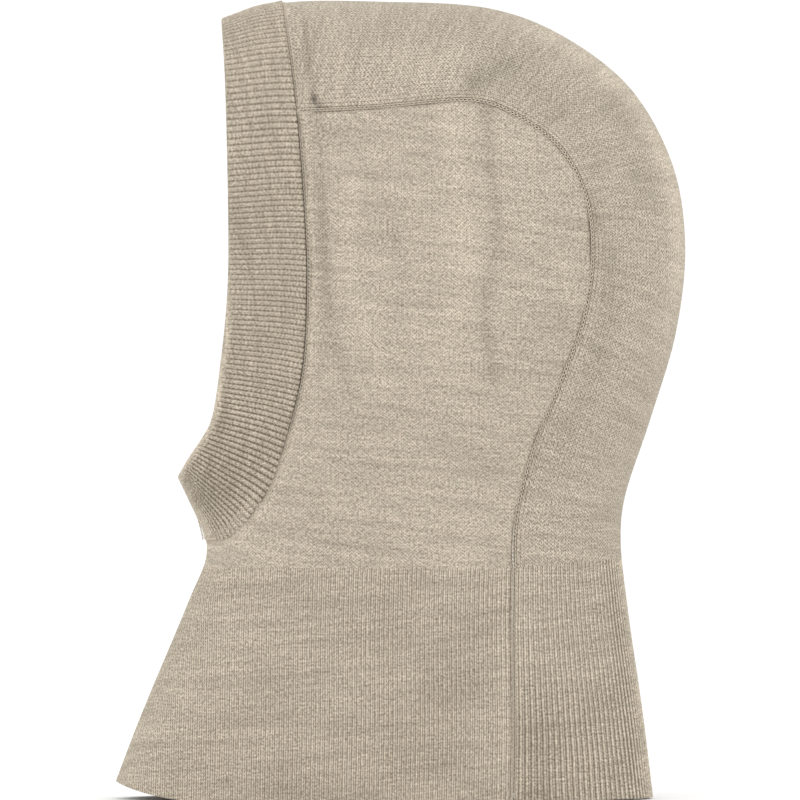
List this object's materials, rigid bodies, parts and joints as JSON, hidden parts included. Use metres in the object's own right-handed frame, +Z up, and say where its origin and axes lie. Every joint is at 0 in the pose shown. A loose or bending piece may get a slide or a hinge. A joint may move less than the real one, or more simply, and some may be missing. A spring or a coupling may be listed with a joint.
{
  "type": "knitted balaclava",
  "caption": "Child's fine-knit wool balaclava: jersey side panels and crown strip, doubled ribbed face band, flared ribbed neck.",
  "frame": {"origin": "inside the crown, where the top of the wearer's head touches the knit", "axes": "+X towards the wearer's left, -Y the way the face looks, +Z up"},
  "size_m": [0.12, 0.2448, 0.3433],
  "materials": {
    "jersey": "fine plain-knit merino wool, beige melange, matt with a soft fuzz",
    "rib": "fine one by one ribbed merino wool, beige melange, matt",
    "linking_thread": "twisted wool linking yarn, a little lighter than the knit",
    "label": "blank woven satin tape"
  },
  "bodies": {
    "root": {"crown_strip": "jersey", "side_panel_left": "jersey", "side_panel_right": "jersey", "neck_rib_front": "rib", "neck_rib_back": "rib", "face_band": "rib", "face_band_chain": "linking_thread", "face_band_join": "linking_thread", "crown_seam_left": "linking_thread", "crown_seam_right": "linking_thread", "care_label": "label"}
  },
  "joints": []
}
